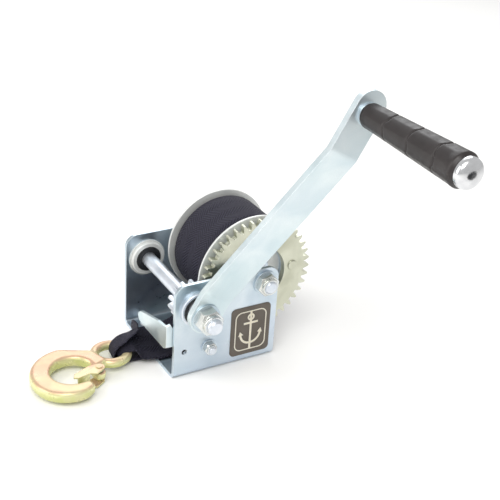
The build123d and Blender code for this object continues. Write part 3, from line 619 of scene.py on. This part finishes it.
def bush_shade_ring(name, bush, toward, inner, outer):
    """A nearly black ring in the mouth of a shaft bush, a little proud of its face: painted shade for the
    bush's dark recess.
    """
    at = centre("drive_shaft")
    face = low(bush).y if toward < 0 else high(bush).y
    lip, back = toward * 0.5 * MM, -toward * 0.6 * MM
    profile = [(inner, face + back), (inner, face + lip * 0.4), (inner + 0.7 * MM, face + lip),
               (outer - 0.9 * MM, face + lip), (outer, face + lip * 0.2), (outer, face + back)]
    if toward > 0:
        profile.reverse()
    return lathe(name, profile, (at.x, at.z), SHADE_RING_BLACK, "base")


def latch_coil():
    """Two and a half turns of wire on the latch pin."""
    box_low, box_high = low("latch_spring"), high("latch_spring")
    at = (box_low + box_high) / 2
    wire = 0.5 * MM
    coil_r = (box_high.x - box_low.x) / 2 - wire
    points = []
    turns, steps = 2.5, 60
    for i in range(steps + 1):
        angle = 2 * math.pi * turns * i / steps
        z = box_low.z + wire + (box_high.z - box_low.z - 2 * wire) * i / steps
        points.append((at.x + coil_r * math.cos(angle), at.y + coil_r * math.sin(angle), z))
    curve = bpy.data.curves.new("latch_coil", "CURVE")
    curve.dimensions = "3D"
    curve.bevel_depth = wire
    curve.bevel_resolution = 3
    spline = curve.splines.new("POLY")
    spline.points.add(len(points) - 1)
    for point, place in zip(spline.points, points):
        point.co = (*place, 1.0)
    curve.use_fill_caps = True
    curve.materials.append(WIRE)
    piece = bpy.data.objects.new("latch_coil", curve)
    bpy.context.scene.collection.objects.link(piece)
    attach(piece, "hook")
    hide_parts("latch_spring")


thread("crank_thread", "hub_spacer", 6.0 * MM, low("crank_nut").y + 0.5 * MM, low("drive_shaft").y + 1.3 * MM,
       1.75 * MM, "crank")
thread("axle_thread", "axle_spacer_near", 5.0 * MM, low("axle_nut").y + 0.4 * MM,
       low("drum_axle").y + 0.9 * MM, 1.5 * MM, "base")
thread("pawl_thread", "pawl_pivot_washer", 3.0 * MM, low("pawl_pivot_nut").y + 0.3 * MM,
       low("pawl_pivot").y + 0.7 * MM, 1.0 * MM, "base")
nut_insert("crank_nut_insert", "crank_nut", 6.0 * MM, "crank")
nut_insert("axle_nut_insert", "axle_nut", 5.0 * MM, "base")
nut_insert("pawl_nut_insert", "pawl_pivot_nut", 3.0 * MM, "base")
latch_coil()
# nearly black rings in the mouths of the shaft bushes: painted shade in their recesses
bush_shade_ring("bush_shade_ring_far", "shaft_bush_far", -1, 6.3 * MM, 11.2 * MM)
bush_shade_ring("bush_shade_ring_near", "shaft_bush_near", -1, 9.8 * MM, 12.6 * MM)


# ------------------------------------------------------------------ floor, light and camera

def area_light(name, place, aim, size, power, colour):
    data = bpy.data.lights.new(name, "AREA")
    data.shape = "RECTANGLE"
    data.size, data.size_y = size
    data.energy = power
    data.color = colour
    lamp = bpy.data.objects.new(name, data)
    bpy.context.scene.collection.objects.link(lamp)
    lamp.location = place
    lamp.rotation_mode = "QUATERNION"
    lamp.rotation_quaternion = (Vector(aim) - Vector(place)).to_track_quat("-Z", "Y")
    return lamp


def studio():
    """Pale floor, even white world, three soft area lights and a dark card."""
    size = 4.0
    verts = [(-size, -size, 0), (size, -size, 0), (size, size, 0), (-size, size, 0)]
    mesh = bpy.data.meshes.new("floor")
    mesh.from_pydata(verts, [], [(0, 1, 2, 3)])
    mesh.materials.append(floor_material())
    floor = bpy.data.objects.new("floor", mesh)
    bpy.context.scene.collection.objects.link(floor)
    world = bpy.data.worlds.new("studio")
    bpy.context.scene.world = world
    world.use_nodes = True
    background = world.node_tree.nodes["Background"]
    background.inputs["Color"].default_value = (1.0, 0.995, 0.985, 1.0)
    background.inputs["Strength"].default_value = 0.62
    middle = (0.0, -0.05, 0.08)
    area_light("key", (-0.55, -0.75, 1.25), middle, (0.9, 0.9), 12.0, (1.0, 0.99, 0.97))
    area_light("back", (0.5, 0.9, 0.9), middle, (1.2, 0.8), 7.0, (0.96, 0.98, 1.0))
    area_light("side", (-1.1, 0.2, 0.6), middle, (0.7, 0.9), 6.0, (1.0, 0.98, 0.96))
    dark_card()


def dark_card():
    """A dark card seen only in reflections, low on the right, so the bright cap has something to show."""
    middle, radius, sides = Vector((0.23, -0.55, 0.12)), 0.15, 24
    across, up = Vector((0.92, 0.39, 0.0)) * radius, Vector((0.09, -0.22, 0.97)) * radius * 0.7
    turns = [2 * math.pi * k / sides for k in range(sides)]
    corners = [middle + math.cos(turn) * across + math.sin(turn) * up for turn in turns]
    mesh = bpy.data.meshes.new("dark_card")
    mesh.from_pydata([tuple(c) for c in corners], [], [tuple(range(sides))])
    card_paper = Graph("card_paper", Roughness=0.9)
    grey = card_paper.noise(8.0, detail=1.0)
    shade = card_paper.ramp(grey, (0.3, (0.02, 0.02, 0.022)), (0.7, (0.035, 0.035, 0.04)))
    card_paper.set("Base Color", shade)
    mesh.materials.append(card_paper.material)
    card = bpy.data.objects.new("dark_card", mesh)
    bpy.context.scene.collection.objects.link(card)
    card.visible_camera = False
    card.visible_diffuse = False
    card.visible_shadow = False


CAMERA_PLACE = (-0.3752, -0.6917, 0.5038)
CAMERA_ANGLES = (-31.4, 27.87, 3.79)
CAMERA_LENS = 78.19


def camera():
    """Azimuth, elevation and roll in degrees; the camera looks along minus its back vector."""
    azimuth, elevation, roll = (math.radians(v) for v in CAMERA_ANGLES)
    back = Vector((math.sin(azimuth) * math.cos(elevation), -math.cos(azimuth) * math.cos(elevation),
                   math.sin(elevation)))
    right = Vector((math.cos(azimuth), math.sin(azimuth), 0.0))
    up = back.cross(right)
    axis_x = math.cos(roll) * right + math.sin(roll) * up
    axis_y = -math.sin(roll) * right + math.cos(roll) * up
    data = bpy.data.cameras.new("camera")
    data.lens = CAMERA_LENS
    data.sensor_width = 36.0
    data.clip_start = 0.01
    shot = bpy.data.objects.new("camera", data)
    bpy.context.scene.collection.objects.link(shot)
    turn = Matrix((axis_x, axis_y, back)).transposed()
    shot.matrix_world = Matrix.Translation(CAMERA_PLACE) @ turn.to_4x4()
    bpy.context.scene.camera = shot


studio()
camera()
bpy.context.scene.view_settings.view_transform = "Standard"
